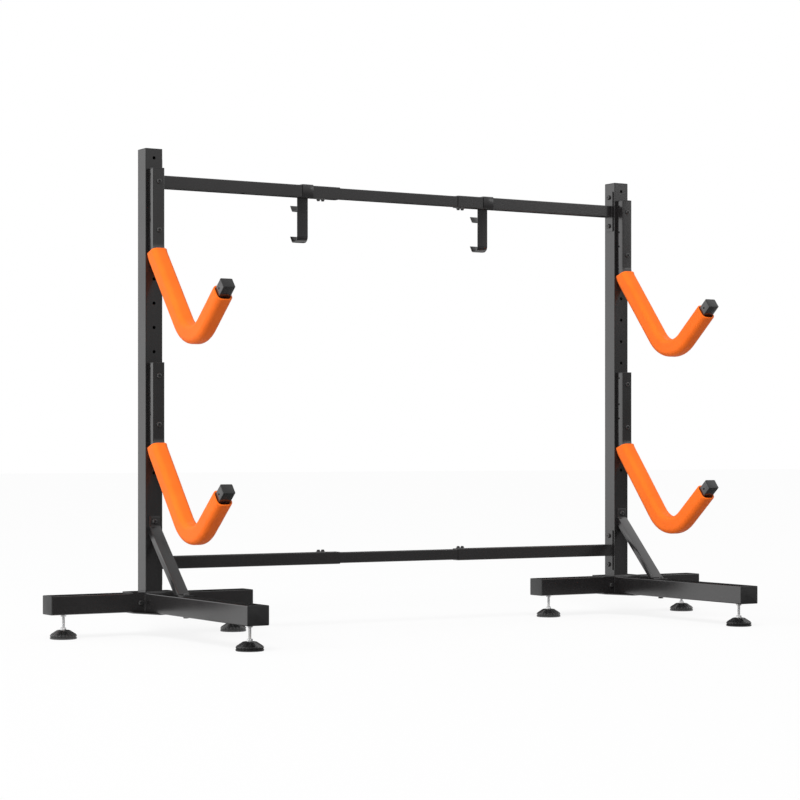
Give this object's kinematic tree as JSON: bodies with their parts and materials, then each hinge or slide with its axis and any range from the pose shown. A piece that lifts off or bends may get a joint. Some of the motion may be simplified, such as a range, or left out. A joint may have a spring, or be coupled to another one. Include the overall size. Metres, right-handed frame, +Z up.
{
  "type": "freestanding kayak rack",
  "caption": "Freestanding steel rack that holds kayaks on foam-covered bent arms, with telescopic crossbars, paddle hooks and levelling feet.",
  "frame": {"origin": "on the floor, under the middle of the bounding box", "axes": "+X along the crossbars to the rack's right, +Y from the front, where the arms and front legs point, to the back, +Z up"},
  "size_m": [2.152, 0.6779, 1.307],
  "materials": {
    "black_coat": "satin",
    "black_plastic": "matte",
    "foot_plastic": "satin",
    "black_screws": "satin",
    "zinc": "satin",
    "orange_foam": "matte"
  },
  "bodies": {
    "left_frame": {"left_cross_tube": "black_coat", "left_front_leg": "black_coat", "left_leg_bracket": "black_coat", "left_upright": "black_coat", "left_upright_cap": "black_plastic", "left_base_caps": "black_plastic", "left_brace": "black_coat", "left_brace_bolts": "black_screws", "left_frame_bolts": "black_screws", "left_frame_nuts": "black_screws", "left_weld_nuts": "zinc", "left_lock_nuts": "zinc", "left_upper_arm": "black_coat", "left_lower_arm": "black_coat", "left_arm_caps": "black_plastic", "left_arm_bolts": "black_screws", "left_upper_foam": "orange_foam", "left_lower_foam": "orange_foam", "left_top_tube": "black_coat", "left_bottom_tube": "black_coat", "left_clamp_screws": "black_screws"},
    "right_frame": {"right_cross_tube": "black_coat", "right_front_leg": "black_coat", "right_leg_bracket": "black_coat", "right_upright": "black_coat", "right_upright_cap": "black_plastic", "right_base_caps": "black_plastic", "right_brace": "black_coat", "right_brace_bolts": "black_screws", "right_frame_bolts": "black_screws", "right_frame_nuts": "black_screws", "right_weld_nuts": "zinc", "right_lock_nuts": "zinc", "right_upper_arm": "black_coat", "right_lower_arm": "black_coat", "right_arm_caps": "black_plastic", "right_arm_bolts": "black_screws", "right_upper_foam": "orange_foam", "right_lower_foam": "orange_foam", "right_top_tube": "black_coat", "right_bottom_tube": "black_coat", "right_clamp_screws": "black_screws"},
    "top_bar": {"top_inner_tube": "black_coat"},
    "bottom_bar": {"bottom_inner_tube": "black_coat"},
    "left_hook": {"left_hook": "black_coat"},
    "left_outer_foot": {"left_outer_stem": "zinc", "left_outer_pad": "foot_plastic"},
    "left_inner_foot": {"left_inner_stem": "zinc", "left_inner_pad": "foot_plastic"},
    "left_front_foot": {"left_front_stem": "zinc", "left_front_pad": "foot_plastic"},
    "right_hook": {"right_hook": "black_coat"},
    "right_outer_foot": {"right_outer_stem": "zinc", "right_outer_pad": "foot_plastic"},
    "right_inner_foot": {"right_inner_stem": "zinc", "right_inner_pad": "foot_plastic"},
    "right_front_foot": {"right_front_stem": "zinc", "right_front_pad": "foot_plastic"}
  },
  "joints": [
    {"name": "top_bar_slide", "type": "slide", "parent": "left_frame", "child": "top_bar", "axis": [1, 0, 0], "range_m": [-0.19, 0.07]},
    {"name": "right_frame_slide", "type": "slide", "parent": "top_bar", "child": "right_frame", "axis": [1, 0, 0], "range_m": [-0.19, 0.07]},
    {"name": "bottom_bar_slide", "type": "slide", "parent": "left_frame", "child": "bottom_bar", "axis": [1, 0, 0], "range_m": [-0.19, 0.07]},
    {"name": "left_hook_slide", "type": "slide", "parent": "left_frame", "child": "left_hook", "axis": [1, 0, 0], "range_m": [-0.42, 0.08]},
    {"name": "left_outer_foot_height", "type": "slide", "parent": "left_frame", "child": "left_outer_foot", "axis": [0, 0, 1], "range_m": [-0.01, 0.025]},
    {"name": "left_inner_foot_height", "type": "slide", "parent": "left_frame", "child": "left_inner_foot", "axis": [0, 0, 1], "range_m": [-0.01, 0.025]},
    {"name": "left_front_foot_height", "type": "slide", "parent": "left_frame", "child": "left_front_foot", "axis": [0, 0, 1], "range_m": [-0.01, 0.025]},
    {"name": "right_hook_slide", "type": "slide", "parent": "right_frame", "child": "right_hook", "axis": [1, 0, 0], "range_m": [-0.08, 0.42]},
    {"name": "right_outer_foot_height", "type": "slide", "parent": "right_frame", "child": "right_outer_foot", "axis": [0, 0, 1], "range_m": [-0.01, 0.025]},
    {"name": "right_inner_foot_height", "type": "slide", "parent": "right_frame", "child": "right_inner_foot", "axis": [0, 0, 1], "range_m": [-0.01, 0.025]},
    {"name": "right_front_foot_height", "type": "slide", "parent": "right_frame", "child": "right_front_foot", "axis": [0, 0, 1], "range_m": [-0.01, 0.025]}
  ],
  "couplings": [
    {"joint": "bottom_bar_slide", "follows": "top_bar_slide", "ratio": 1}
  ]
}
